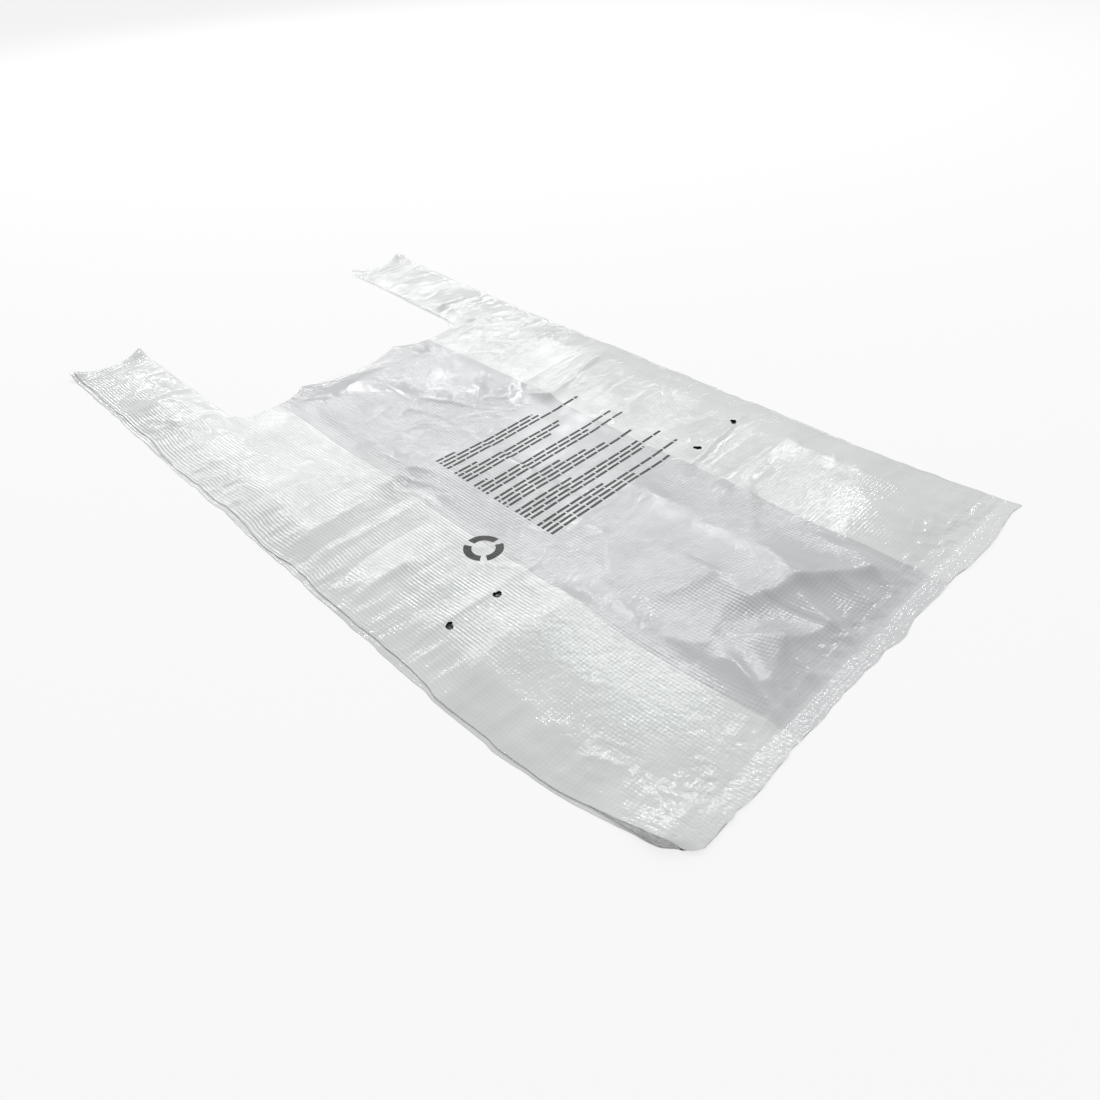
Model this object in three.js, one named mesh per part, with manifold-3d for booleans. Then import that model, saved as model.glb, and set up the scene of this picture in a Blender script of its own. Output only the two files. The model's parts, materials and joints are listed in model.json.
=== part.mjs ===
// A plastic vest carrier bag, empty and lying flat on its back panel.
// It is one tube of blown film: the sides are tucked in as gussets, the bottom and the
// handle tips are welded, and the mouth is cut out between the two handles.
// Millimetres, +Z up, +Y towards the handles. The origin is the middle of the underside.

import * as THREE from 'three';
import * as BufferGeometryUtils from 'three/addons/utils/BufferGeometryUtils.js';
import Module from 'manifold-3d';

const wasm = await Module();
wasm.setup();

// Flat size of the bag, and the depth of the fold tucked in at each side.
const FLAT_WIDTH = 300;
const FLAT_LENGTH = 566;
const GUSSET_DEPTH = 85;

// The film, drawn thicker than life, and the air left between two plies.
const FILM = 0.4;
const PLY_GAP = 0.4;

// The cut-out between the handles, measured from the bottom edge.
const HANDLE_WIDTH = 53;
const MOUTH_HEIGHT = 410;
const MOUTH_FILLET = 14;

// Two small points stay on the mouth where the hanging tab was torn off.
const TAB_HALF_WIDTH = 40;
const TAB_POINT_HEIGHT = 11;
const TAB_POINT_RUN = 26;

// Welds across the bottom and the handle tips, and the loose skirt outside each of them.
const WELD_WIDTH = 2;
const BOTTOM_SKIRT = 9;
const TIP_SKIRT = 6;

// Vent holes punched through both side panels: how far up, and how far in from the edge.
const VENT_DIAMETER = 5;
const VENT_HEIGHT = 159;
const VENT_INSETS = [30, 65.5];
const VENT_SIDES = 12;

// Gathers in the middle panel, just above the bottom weld.
const PUCKER_HEIGHT = 5;
const PUCKER_REACH = 26;
const PUCKER_PITCH = 32;

// How far the side panels swell, and the step where the middle panel drops beside a gusset.
const PANEL_CROWN = 1.6;
const STEP_WIDTH = 12;

// The bottom corner that has curled up, and how much of that the back ply follows.
const CORNER_LIFT = 9;
const CORNER_LIFT_REACH = 80;
const BACK_PLY_SHARE = 0.4;

// How far the bottom weld has drawn each bottom corner across the bag.
const CURLED_CORNER_DRAW = 20;
const FAR_CORNER_DRAW = 6;
const CORNER_DRAW_REACH = 110;

// The pricked-up corners of the handle tips.
const TIP_EAR_LIFT = 5;
const TIP_EAR_REACH = 18;

// The folds that the bag was packed with: three above the bottom edge, one above the mouth.
const LOWER_FOLD = 148;
const MIDDLE_FOLD = 205;
const UPPER_FOLD = 271;
const HANDLE_FOLD_RISE = 33;

// Spacing of the film's facets along and across the bag, and around each fold.
const ROW_SPACING = 28;
const COLUMN_SPACING = 18;
const FOLD_STEPS = 2;

// Sizes that follow from those above.
const SIDE = FLAT_WIDTH / 2;
const PLY_PITCH = FILM + PLY_GAP;
const FOLD_RADIUS = PLY_PITCH / 2;
const PLY_COUNT = 4;
const STACK = PLY_PITCH * (PLY_COUNT - 1);
const EDGE = SIDE - FOLD_RADIUS - FILM / 2;
const GUSSET_LINE = SIDE - GUSSET_DEPTH;
const HANDLE_EDGE = SIDE - HANDLE_WIDTH;
const HANDLE_ROOT = MOUTH_HEIGHT + MOUTH_FILLET;
const HANDLE_FOLD = MOUTH_HEIGHT + HANDLE_FOLD_RISE;
const BOTTOM_WELD_TOP = BOTTOM_SKIRT + WELD_WIDTH;
const TIP_WELD_TOP = FLAT_LENGTH - TIP_SKIRT;
const TIP_WELD_BOTTOM = TIP_WELD_TOP - WELD_WIDTH;
const WELD_MARGIN = WELD_WIDTH / 2;

// Creases along those folds and in the loose film, from end to end on the flat bag.
const CREASE_WIDTH = 9;
const CREASES = [
  { from: [-SIDE, UPPER_FOLD], to: [-GUSSET_LINE, UPPER_FOLD], height: 3.2 },
  { from: [GUSSET_LINE, UPPER_FOLD + 6], to: [SIDE, UPPER_FOLD + 22], height: 2.2 },
  { from: [-SIDE, UPPER_FOLD - 25], to: [-GUSSET_LINE, UPPER_FOLD - 26], height: 1.8 },
  { from: [-SIDE, MIDDLE_FOLD], to: [-HANDLE_EDGE, MIDDLE_FOLD], height: 2.4 },
  { from: [-SIDE, LOWER_FOLD], to: [-GUSSET_LINE, LOWER_FOLD], height: 2.6 },
  { from: [GUSSET_LINE, LOWER_FOLD - 2], to: [SIDE, LOWER_FOLD - 10], height: 2.0 },
  { from: [HANDLE_EDGE, HANDLE_FOLD], to: [SIDE, HANDLE_FOLD], height: 2.6 },
  { from: [-SIDE, HANDLE_FOLD + 37], to: [-HANDLE_EDGE, HANDLE_FOLD + 23], height: 2.4 },
  { from: [-TAB_HALF_WIDTH, MOUTH_HEIGHT - 8], to: [8, MOUTH_HEIGHT - 58], height: 2.8 },
  { from: [-TAB_HALF_WIDTH, UPPER_FOLD + 59], to: [22, UPPER_FOLD + 47], height: 2.4 },
];

// Places across one half of the bag where a ply needs a facet edge, from the centre out.
const FILLET_MARKS = [1, 0.3, 0].map((share) => HANDLE_EDGE - share * MOUTH_FILLET);
const GUSSET_MARKS = [GUSSET_LINE, ...FILLET_MARKS, EDGE].filter((x) => x >= GUSSET_LINE);
const PANEL_MARKS = [TAB_HALF_WIDTH, ...GUSSET_MARKS];
const ACROSS = [...PANEL_MARKS.map((x) => -x), ...PANEL_MARKS].sort((a, b) => a - b);
const HANDLE_MARKS = [HANDLE_EDGE, EDGE];

// Heights where the film needs a facet edge, from the bottom up to the handles and beyond.
const BODY_MARKS = [
  0, BOTTOM_SKIRT - WELD_MARGIN, BOTTOM_WELD_TOP + WELD_MARGIN,
  LOWER_FOLD, MIDDLE_FOLD, UPPER_FOLD, HANDLE_ROOT,
].sort((a, b) => a - b);
const TIP_MARKS = [
  HANDLE_ROOT, HANDLE_FOLD, TIP_WELD_BOTTOM - WELD_MARGIN, TIP_WELD_TOP + WELD_MARGIN, FLAT_LENGTH,
].sort((a, b) => a - b);

const smooth = THREE.MathUtils.smoothstep;

// Bell-shaped ridge along a straight crease.
function creaseRelief(x, y, { from, to, height }) {
  const line = new THREE.Line3(new THREE.Vector3(...from, 0), new THREE.Vector3(...to, 0));
  const point = new THREE.Vector3(x, y, 0);
  const nearest = line.closestPointToPoint(point, true, new THREE.Vector3());
  return height * Math.exp(-((point.distanceTo(nearest) / CREASE_WIDTH) ** 2));
}

// Gathers fade upwards from the bottom weld and stay between the two gussets.
function puckerRelief(x, y) {
  const inside = 1 - smooth(Math.abs(x), GUSSET_LINE - PUCKER_PITCH / 2, GUSSET_LINE);
  const wave = 0.5 + 0.5 * Math.cos((2 * Math.PI * x) / PUCKER_PITCH);
  const above = Math.max(0, y - BOTTOM_WELD_TOP) / PUCKER_REACH;
  return PUCKER_HEIGHT * inside * wave * above * Math.exp(1 - above);
}

// Height of the front ply over the back ply: more plies and more air in the side panels.
function stackHeight(x, y) {
  const side = smooth(Math.abs(x), GUSSET_LINE - STEP_WIDTH, GUSSET_LINE - PLY_PITCH);
  const across = THREE.MathUtils.clamp((Math.abs(x) - GUSSET_LINE) / GUSSET_DEPTH, 0, 1);
  const crown = PANEL_CROWN * Math.sin(Math.PI * across);
  const creases = CREASES.reduce((sum, crease) => sum + creaseRelief(x, y, crease), 0);
  return THREE.MathUtils.lerp(PLY_PITCH, STACK, side) + crown + creases + puckerRelief(x, y);
}

// The whole stack curls up at one bottom corner and at both corners of each handle tip.
function curl(x, y, ply) {
  const fromCorner = Math.hypot(x + SIDE, y);
  const corner = CORNER_LIFT * (1 - smooth(fromCorner, 0, CORNER_LIFT_REACH));
  const fromTip = FLAT_LENGTH - y;
  const outerEar = Math.hypot(SIDE - Math.abs(x), fromTip);
  const innerEar = Math.hypot(Math.abs(x) - HANDLE_EDGE, fromTip);
  const ear = 1 - smooth(Math.min(outerEar, innerEar), 0, TIP_EAR_REACH);
  return corner * THREE.MathUtils.lerp(BACK_PLY_SHARE, 1, ply) + TIP_EAR_LIFT * ear;
}

// Sideways shift of the film near the bottom, where the weld has drawn it together.
function draw(x, y) {
  const fade = Math.max(0, 1 - y / CORNER_DRAW_REACH) ** 2;
  const across = (x + SIDE) / FLAT_WIDTH;
  return fade * THREE.MathUtils.lerp(CURLED_CORNER_DRAW, FAR_CORNER_DRAW, across);
}

// Where a point of the flat film comes to lie. Ply runs from 0 (back) to 1 (front).
function lay(x, y, ply) {
  const z = FILM / 2 + ply * stackHeight(x, y) + curl(x, y, ply);
  return new THREE.Vector3(x + draw(x, y), y, z);
}

// The cut edge of the mouth: rounded corners, a straight run, the two torn points and a
// shallow hollow between them.
function mouthEdge(x) {
  const distance = Math.abs(x);
  const intoFillet = Math.max(0, distance - (HANDLE_EDGE - MOUTH_FILLET));
  const fillet = MOUTH_FILLET - Math.sqrt(Math.max(0, MOUTH_FILLET ** 2 - intoFillet ** 2));
  const hollow = Math.min(1, distance / TAB_HALF_WIDTH);
  const run = THREE.MathUtils.clamp((distance - TAB_HALF_WIDTH) / TAB_POINT_RUN, 0, 1);
  return MOUTH_HEIGHT + fillet + TAB_POINT_HEIGHT * hollow ** 2 * (1 - run) ** 2;
}

const isHandle = (x) => Math.abs(x) > HANDLE_EDGE - FILM / 2;

// Height of a row at one place across the bag: rows bend to follow the cut mouth.
function rowHeight(x, row) {
  if (isHandle(x)) return row;
  const bendStart = MOUTH_HEIGHT - HANDLE_WIDTH;
  const bend = THREE.MathUtils.clamp((row - bendStart) / (HANDLE_ROOT - bendStart), 0, 1);
  return row - bend * (HANDLE_ROOT - mouthEdge(x));
}

// Every mark in turn, with even steps no longer than the spacing between them.
function stepsThrough(marks, spacing) {
  const steps = [marks[0]];
  for (let i = 1; i < marks.length; i += 1) {
    const count = Math.ceil(Math.abs(marks[i] - marks[i - 1]) / spacing);
    for (let k = 1; k <= count; k += 1) {
      steps.push(THREE.MathUtils.lerp(marks[i - 1], marks[i], k / count));
    }
  }
  return steps;
}

// One ply as a run of places across the bag.
function plyRun(marks, ply) {
  return stepsThrough(marks, COLUMN_SPACING).map((x) => ({ x, ply }));
}

// A half turn of film from one ply to the next, bulging to the left or the right.
function foldRun(x, outward, fromPly, toPly) {
  const run = [];
  for (let k = 1; k < FOLD_STEPS; k += 1) {
    const angle = Math.PI * (k / FOLD_STEPS - 0.5);
    const rise = (Math.sin(angle) + 1) / 2;
    run.push({
      x: x + outward * FOLD_RADIUS * Math.cos(angle),
      ply: THREE.MathUtils.lerp(fromPly, toPly, rise),
    });
  }
  return run;
}

// The gusset on one side, between the back ply and the front ply, met in either order.
function gussetRun(side, firstPly, lastPly) {
  const [low, high] = [1, 2].map((k) => THREE.MathUtils.lerp(firstPly, lastPly, k / 3));
  const outward = GUSSET_MARKS.map((x) => side * x);
  return [
    ...foldRun(side * EDGE, side, firstPly, low),
    ...plyRun(outward.toReversed(), low),
    ...foldRun(side * GUSSET_LINE, -side, low, high),
    ...plyRun(outward, high),
    ...foldRun(side * EDGE, side, high, lastPly),
  ];
}

// Once round the tube: back ply, right gusset, front ply, left gusset.
function tubeSection() {
  return [
    ...plyRun(ACROSS, 0),
    ...gussetRun(1, 0, 1),
    ...plyRun(ACROSS.toReversed(), 1),
    ...gussetRun(-1, 1, 0),
  ];
}

// Two triangles. All plies are split along the same diagonal, so that none cuts the next.
function pushQuad(index, [a, b, c, d], splitFromFirst) {
  if (splitFromFirst) index.push(a, b, c, a, c, d);
  else index.push(b, c, d, b, d, a);
}

// The middle surface of the film as one grid: places round the tube by rows along it.
// Rows past the mouth hold only the handles.
function filmSurface() {
  const section = tubeSection();
  const bodyRows = stepsThrough(BODY_MARKS, ROW_SPACING);
  const rows = [...bodyRows, ...stepsThrough(TIP_MARKS, ROW_SPACING).slice(1)];
  const lastBodyRow = bodyRows.length - 1;
  const positions = [];
  const index = [];
  rows.forEach((row) => {
    section.forEach(({ x, ply }) => {
      positions.push(...lay(x, rowHeight(x, row), ply).toArray());
    });
  });
  for (let j = 0; j < rows.length - 1; j += 1) {
    for (let i = 0; i < section.length; i += 1) {
      const next = (i + 1) % section.length;
      const onHandle = isHandle(section[i].x) && isHandle(section[next].x);
      if (j >= lastBodyRow && !onHandle) continue;
      const [a, b] = [j * section.length + i, j * section.length + next];
      const [d, c] = [a + section.length, b + section.length];
      pushQuad(index, [a, d, c, b], section[next].x > section[i].x);
    }
  }
  return { positions, index };
}

// A closed wall of film thickness round a surface, with a rim along its open edges.
function thicken({ positions, index }) {
  const surface = new THREE.BufferGeometry();
  surface.setAttribute('position', new THREE.Float32BufferAttribute(positions, 3));
  surface.setIndex(index);
  surface.computeVertexNormals();
  const place = surface.getAttribute('position');
  const normal = surface.getAttribute('normal');
  const used = new Map();
  [...new Set(index)].forEach((vertex) => used.set(vertex, used.size));
  const wall = [];
  [1, -1].forEach((side) => {
    used.forEach((_, vertex) => {
      const offset = new THREE.Vector3().fromBufferAttribute(normal, vertex);
      const point = new THREE.Vector3().fromBufferAttribute(place, vertex);
      wall.push(...point.addScaledVector(offset, (side * FILM) / 2).toArray());
    });
  });
  const inside = used.size;
  const faces = [];
  const openEdges = new Map();
  for (let k = 0; k < index.length; k += 3) {
    const [a, b, c] = [0, 1, 2].map((n) => used.get(index[k + n]));
    faces.push(a, b, c, inside + c, inside + b, inside + a);
    [[a, b], [b, c], [c, a]].forEach(([from, to]) => {
      if (!openEdges.delete(`${to} ${from}`)) openEdges.set(`${from} ${to}`, [from, to]);
    });
  }
  openEdges.forEach(([from, to]) => {
    faces.push(to, from, inside + from, to, inside + from, inside + to);
  });
  const geometry = new THREE.BufferGeometry();
  geometry.setAttribute('position', new THREE.Float32BufferAttribute(wall, 3));
  geometry.setIndex(faces);
  return geometry;
}

// A bar of fused film across part of the bag, from the back ply to the front ply.
// It stops just short of the folded or cut edge at each end.
function weldBar(marks, bottom, top) {
  const columns = stepsThrough(marks, COLUMN_SPACING);
  columns[0] += FILM;
  columns[columns.length - 1] -= FILM;
  const corners = [[bottom, 0], [top, 0], [top, 1], [bottom, 1]];
  const positions = columns.flatMap((x) => corners.flatMap(([y, ply]) => lay(x, y, ply).toArray()));
  const index = [];
  for (let i = 0; i < columns.length - 1; i += 1) {
    corners.forEach((_, k) => {
      const [a, b] = [4 * i + k, 4 * i + ((k + 1) % 4)];
      pushQuad(index, [a, b, b + 4, a + 4], k < 2);
    });
  }
  const end = 4 * (columns.length - 1);
  pushQuad(index, [3, 2, 1, 0], true);
  pushQuad(index, [end, end + 1, end + 2, end + 3], true);
  const bar = new THREE.BufferGeometry();
  bar.setAttribute('position', new THREE.Float32BufferAttribute(positions, 3));
  return bar.setIndex(index);
}

// A punch long enough to pass through every ply at one vent hole.
function ventPunch(x) {
  const reach = 2 * (lay(x, VENT_HEIGHT, 1).z + PLY_PITCH);
  const punch = new THREE.CylinderGeometry(VENT_DIAMETER / 2, VENT_DIAMETER / 2, reach, VENT_SIDES);
  punch.rotateX(Math.PI / 2);
  const { x: punchX, y: punchY } = lay(x, VENT_HEIGHT, 0);
  return punch.translate(punchX, punchY, 0);
}

function toSolid(geometry) {
  const bare = geometry.clone();
  bare.deleteAttribute('normal');
  bare.deleteAttribute('uv');
  const merged = BufferGeometryUtils.mergeVertices(bare, 1e-5);
  return new wasm.Manifold(new wasm.Mesh({
    numProp: 3,
    vertProperties: Float32Array.from(merged.getAttribute('position').array),
    triVerts: Uint32Array.from(merged.getIndex().array),
  }));
}

function toGeometry(solid) {
  const { vertProperties, triVerts } = solid.getMesh();
  const geometry = new THREE.BufferGeometry();
  geometry.setAttribute('position', new THREE.BufferAttribute(vertProperties, 3));
  geometry.setIndex(new THREE.BufferAttribute(triVerts, 1));
  return geometry;
}

function carrierBag() {
  const welds = [
    weldBar(ACROSS, BOTTOM_SKIRT, BOTTOM_WELD_TOP),
    weldBar(HANDLE_MARKS.toReversed().map((x) => -x), TIP_WELD_BOTTOM, TIP_WELD_TOP),
    weldBar(HANDLE_MARKS, TIP_WELD_BOTTOM, TIP_WELD_TOP),
  ];
  const vents = VENT_INSETS.flatMap((inset) => [-1, 1].map(
    (side) => ventPunch(side * (SIDE - inset)),
  ));
  const welded = welds.reduce((bag, weld) => bag.add(toSolid(weld)), toSolid(thicken(filmSurface())));
  const vented = vents.reduce((bag, vent) => bag.subtract(toSolid(vent)), welded);
  const geometry = toGeometry(vented);
  geometry.computeBoundingBox();
  const middle = geometry.boundingBox.getCenter(new THREE.Vector3());
  geometry.translate(-middle.x, -middle.y, -geometry.boundingBox.min.z);
  geometry.computeVertexNormals();
  return geometry;
}

const whiteFilm = new THREE.MeshStandardMaterial({ color: 0xdcdfe1, roughness: 0.38, metalness: 0 });

const bag = new THREE.Mesh(carrierBag(), whiteFilm);
bag.name = 'carrier_bag';

const group = new THREE.Group();
group.add(bag);

export default group;
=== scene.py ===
# %% [markdown]
# # A carrier bag of thin film, lying flat
# The bag is one tube of blown film, folded flat with a gusset on each side, welded across the bottom
# and across the handle tips, and cut out at the mouth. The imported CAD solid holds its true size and
# its main folds. This script lays a finer skin over the same folds and gives it the film's finish.
# The first cell loads that solid and keeps its box, because the skin has to fit it.

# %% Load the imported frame
import json
import bpy
import numpy as np
from mathutils import Matrix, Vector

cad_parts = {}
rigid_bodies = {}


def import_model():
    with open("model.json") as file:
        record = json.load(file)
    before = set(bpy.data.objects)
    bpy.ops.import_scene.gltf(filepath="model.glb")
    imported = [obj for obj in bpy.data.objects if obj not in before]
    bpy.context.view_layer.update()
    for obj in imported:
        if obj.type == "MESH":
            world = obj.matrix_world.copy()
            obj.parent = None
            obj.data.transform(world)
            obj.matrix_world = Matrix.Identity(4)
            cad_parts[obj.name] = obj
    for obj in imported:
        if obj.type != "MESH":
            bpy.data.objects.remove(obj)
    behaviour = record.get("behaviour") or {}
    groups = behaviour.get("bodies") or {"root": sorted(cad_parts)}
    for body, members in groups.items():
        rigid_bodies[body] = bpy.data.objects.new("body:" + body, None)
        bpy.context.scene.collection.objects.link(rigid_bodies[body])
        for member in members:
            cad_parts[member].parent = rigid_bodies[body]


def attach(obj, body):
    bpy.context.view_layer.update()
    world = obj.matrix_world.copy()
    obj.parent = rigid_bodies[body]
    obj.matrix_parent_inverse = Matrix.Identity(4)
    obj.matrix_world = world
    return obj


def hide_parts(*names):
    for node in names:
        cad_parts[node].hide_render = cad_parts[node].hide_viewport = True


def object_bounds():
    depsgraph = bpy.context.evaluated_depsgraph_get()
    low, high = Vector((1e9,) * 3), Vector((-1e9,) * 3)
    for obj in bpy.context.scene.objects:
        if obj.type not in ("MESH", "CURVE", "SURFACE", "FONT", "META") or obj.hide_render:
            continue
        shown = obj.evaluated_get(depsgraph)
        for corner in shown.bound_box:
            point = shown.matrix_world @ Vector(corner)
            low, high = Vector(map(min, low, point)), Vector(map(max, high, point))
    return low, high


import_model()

cad_low, cad_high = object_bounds()
MM = 0.001
print("CAD box in mm:", [round(1000 * (b - a), 1) for a, b in zip(cad_low, cad_high)])

# %% [markdown]
# ## The camera
# The picture was taken from over the bottom corner with a short lens, so the near corner looms and
# the handles shrink away. A camera is a point, a direction and a lens: the direction is given here
# as an azimuth, an elevation and a small roll, which are easier to read than three Euler angles.
# The target is in the bag's own flat frame, in millimetres: x from the centre line, y from the
# bottom edge.

# %% Camera
IMAGE_SIZE = 1100
FOCAL_PIXELS = 807.3
SENSOR = 36.0
CLIP_START = 0.01
AZIMUTH, ELEVATION, ROLL = np.radians([-41.94, 40.81, -3.56])
TARGET = np.array([-43.98, 162.82, 0.0])
DISTANCE = 428.99
SIDE, LENGTH = 150.0, 566.0
CENTRE_SHIFT = cad_low[0] / MM + SIDE


def to_frame(points):
    """Flat frame in millimetres to CAD frame in metres: x and y move to the box's centre."""
    return (points + [CENTRE_SHIFT, -LENGTH / 2, 0.0]) * MM


def across_and_up(back):
    """The level axis and the upright axis that go with a backward axis, by two cross products."""
    across = np.cross([0, 0, 1], back)
    across /= np.linalg.norm(across)
    return across, np.cross(back, across)


def placed(across, up, back, at):
    """The matrix with those three axes as columns and that place as the fourth."""
    rows = np.column_stack([across, up, back, at])
    return Matrix([*rows.tolist(), [0, 0, 0, 1]])


def place_camera():
    """The camera's axes are across, up and back; the roll turns the first two about the third."""
    level = np.cos(ELEVATION)
    back = np.array([np.sin(AZIMUTH) * level, -np.cos(AZIMUTH) * level, np.sin(ELEVATION)])
    across, up = across_and_up(back)
    turned = across * np.cos(ROLL) + up * np.sin(ROLL)
    upright = up * np.cos(ROLL) - across * np.sin(ROLL)
    eye = to_frame(TARGET + DISTANCE * back)
    data = bpy.data.cameras.new("camera")
    data.sensor_width = SENSOR
    data.lens = SENSOR * FOCAL_PIXELS / IMAGE_SIZE
    data.clip_start = CLIP_START
    camera = bpy.data.objects.new("camera", data)
    camera.matrix_world = placed(turned, upright, back, eye)
    bpy.context.scene.collection.objects.link(camera)
    bpy.context.scene.camera = camera
    return camera


camera = place_camera()
camera_at = [round(c, 3) for c in camera.matrix_world.translation]
print("camera lens", round(camera.data.lens, 2), "mm at", camera_at)

# %% [markdown]
# ## Sizes of the bag
# The flat outline, the gussets and the mouth have the CAD part's sizes, in millimetres. The film and
# the space between its plies are thinner here than in the solid, which has to be a closed body. Some
# space is kept, so that the layers of the folded tube don't cross each other.

# %% Driving sizes
FILM, PLY_PITCH = 0.10, 0.18
GUSSET_LINE, EDGE = 65.0, 149.4
HANDLE_EDGE, HANDLE_WIDTH = 97.0, 53.0
MOUTH, MOUTH_FILLET = 410.0, 14.0
HANDLE_ROOT = MOUTH + MOUTH_FILLET
TAB_HALF, TAB_POINT, TAB_RUN = 40.0, 11.0, 26.0
BOTTOM_WELD, TIP_WELD = 10.0, 559.0
VENTS = np.array([(-120.0, 156.0), (-88.0, 155.5), (81.0, 162.0), (120.0, 163.0)])
VENT_RADIUS = 2.35
print("flat bag", 2 * SIDE, "x", LENGTH, "mm, handles", HANDLE_WIDTH, "mm wide")

# %% [markdown]
# ## Three small tools
# Most of the bag's shape is made of three things: a smooth step from one level to another, a bell,
# and soft random hills. Each is one line or a few on whole arrays, so a surface of a hundred
# thousand points costs a few milliseconds.

# %% Smooth step, bell and soft hills
LATTICE = 64


def step(value, start=0.0, stop=1.0):
    """0 before start, 1 after stop, and the cubic 3t^2 - 2t^3 between them."""
    t = np.clip((value - start) / (stop - start), 0.0, 1.0)
    return t * t * (3.0 - 2.0 * t)


def bell(distance, reach):
    """A bell of height 1: exp of minus the square of distance over reach."""
    return np.exp(-(distance / reach) ** 2)


def hills(x, y, cell, seed):
    """Random heights from -1 to 1 on a square lattice of that cell, blended by a quintic between."""
    heights = np.random.default_rng(seed).uniform(-1.0, 1.0, (LATTICE, LATTICE))
    u, v = x / cell, y / cell
    i, j = np.floor(u).astype(int), np.floor(v).astype(int)
    s, t = u - i, v - j
    s = s ** 3 * (s * (6 * s - 15) + 10)
    t = t ** 3 * (t * (6 * t - 15) + 10)
    i, j = i % (LATTICE - 1), j % (LATTICE - 1)
    near = heights[j, i] * (1 - s) + heights[j, i + 1] * s
    far = heights[j + 1, i] * (1 - s) + heights[j + 1, i + 1] * s
    return near * (1 - t) + far * t


print("one height of the hills:", round(float(hills(np.array(3.0), np.array(4.0), 10.0, 1)), 3))

# %% [markdown]
# ## The folded tube as a grid
# A gusseted bag is still one tube. Going once round it: the back ply, then in and out along the
# right gusset, across the front ply, and in and out along the left gusset. One list of stations
# round the tube and one list of rows up the bag make a grid, and every ply shares its fold with
# the next, so there are no seams to close. The front gets close columns, because it carries the
# look; the hidden plies get wide ones.

# %% Stations round the tube
FRONT_SPACING, HIDDEN_SPACING, VENT_SPACING = 1.65, 9.0, 0.8
VENT_COLUMNS = 4
FOLD_STEPS = 3
FOLD_MARGIN = 0.4


def spread(*stops, spacing):
    """Points through all the stops, even between each pair and no further apart than spacing."""
    pairs = list(zip(stops, stops[1:]))
    runs = [np.linspace(a, b, int(np.ceil(abs(b - a) / spacing)) + 1) for a, b in pairs]
    return np.concatenate([runs[0]] + [run[1:] for run in runs[1:]])


def fold(x, outward, ply_from, ply_to):
    """The stations of a fold at x: a half circle from one ply to the next, bulging outward."""
    turn = np.linspace(0, np.pi, FOLD_STEPS + 2)[1:-1]
    along = (1 - np.cos(turn)) / 2
    return x + outward * FILM * np.sin(turn), ply_from + (ply_to - ply_from) * along


def flat_ply(ply, *stops, spacing):
    """The stations of a flat ply through the given stops."""
    x = spread(*stops, spacing=spacing)
    return x, np.full(len(x), ply)


def gusset(side):
    """A gusset from the back ply's edge in to its crease and out again to the front ply's edge."""
    stops = [side * at for at in (EDGE, EDGE - FOLD_MARGIN, HANDLE_EDGE, GUSSET_LINE)]
    lower = flat_ply(1 / 3, *stops, spacing=HIDDEN_SPACING)
    upper = flat_ply(2 / 3, *stops[::-1], spacing=HIDDEN_SPACING)
    return [
        fold(side * EDGE, side, 0, 1 / 3), lower, fold(side * GUSSET_LINE, -side, 1 / 3, 2 / 3),
        upper, fold(side * EDGE, side, 2 / 3, 1),
    ]


def round_the_tube():
    """Back ply, right gusset, front ply and left gusset as one closed run: x and ply of each."""
    inner = EDGE - FOLD_MARGIN
    stops = [-EDGE, -inner, -HANDLE_EDGE, -TAB_HALF, TAB_HALF, HANDLE_EDGE, inner, EDGE]
    back = flat_ply(0.0, *stops, spacing=HIDDEN_SPACING)
    coarse = spread(*stops, spacing=FRONT_SPACING)
    close = [cx + np.arange(-VENT_COLUMNS, VENT_COLUMNS + 1) * VENT_SPACING for cx, _ in VENTS]
    clear = (VENT_COLUMNS + 0.6) * VENT_SPACING
    far_from_vents = np.abs(coarse[:, None] - VENTS[:, 0]).min(1) > clear
    columns = np.sort(np.concatenate([coarse[far_from_vents], *close]))[::-1]
    front = columns, np.ones(len(columns))
    left = [(x[::-1], ply[::-1]) for x, ply in gusset(-1)[::-1]]
    runs = [back, *gusset(1), front, *left]
    return np.concatenate([x for x, _ in runs]), np.concatenate([ply for _, ply in runs])


station_x, station_ply = round_the_tube()
in_handle = np.abs(station_x) > HANDLE_EDGE - 0.01
print("stations round the tube:", len(station_x), "of which in the handles:", int(in_handle.sum()))

# %% [markdown]
# ## Rows up the bag and the cut mouth
# The mouth is cut with a round corner beside each handle, and with two small points where the
# torn-off tab was joined. Rows near the mouth bend to follow that cut, so its outline is exact
# and no triangle is wasted.

# %% Rows
ROW_SPACING, WELD_ROW_SPACING = 1.7, 1.2
WELD_ROWS_END, VENT_MARGIN = 40.0, 4.0
BEND_START = MOUTH - HANDLE_WIDTH


def mouth_height(x):
    """The cut's height over x: level, a quarter circle up to each handle, a cusp at each tab point."""
    away = np.abs(x)
    corner = np.clip(away - (HANDLE_EDGE - MOUTH_FILLET), 0, MOUTH_FILLET)
    fillet = MOUTH_FILLET - np.sqrt(MOUTH_FILLET ** 2 - corner ** 2)
    rising = np.minimum(1, away / TAB_HALF) ** 2
    falling = (1 - np.clip((away - TAB_HALF) / TAB_RUN, 0, 1)) ** 2
    cusp = rising * falling
    return MOUTH + fillet + TAB_POINT * cusp


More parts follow.
